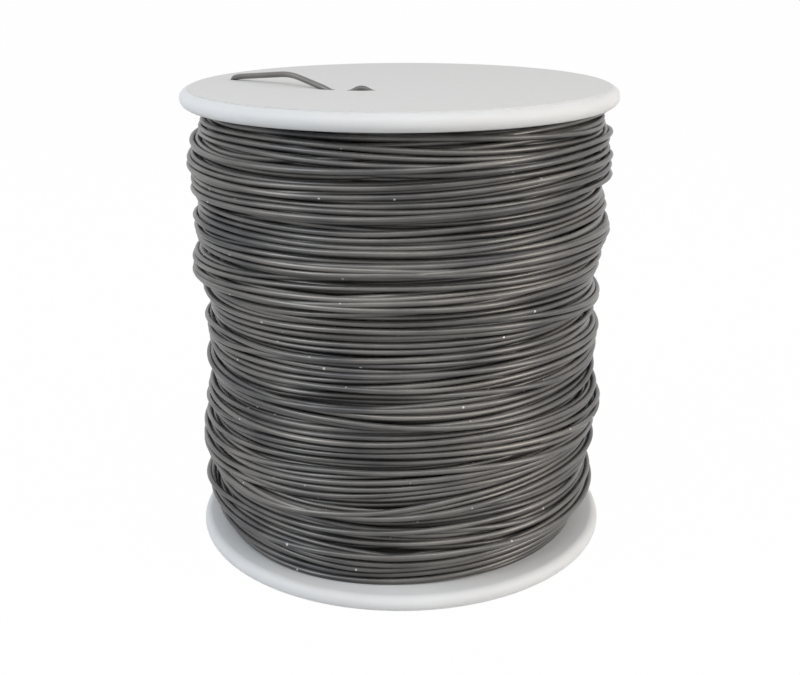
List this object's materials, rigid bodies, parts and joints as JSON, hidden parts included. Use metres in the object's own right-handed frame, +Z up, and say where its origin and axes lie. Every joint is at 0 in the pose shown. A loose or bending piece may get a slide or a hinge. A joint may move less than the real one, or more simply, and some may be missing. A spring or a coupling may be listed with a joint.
{
  "type": "roll of safety wire",
  "caption": "Dark steel lock wire wound on a white moulded spool, standing on its lower flange, with its start showing on the top.",
  "frame": {"origin": "middle of the lower flange's underside", "axes": "+Z up along the arbor bore; the starting hole of the wire is towards -X"},
  "size_m": [0.0634, 0.0634, 0.0709],
  "materials": {
    "spool_plastic": "white moulded plastic with a soft gloss",
    "wire_steel": "dark drawn steel wire, satin",
    "label_paper": "plain light grey paper, matt"
  },
  "bodies": {
    "root": {"spool": "spool_plastic", "wire_pack": "wire_steel", "label": "label_paper", "wire_end": "wire_steel"}
  },
  "joints": []
}
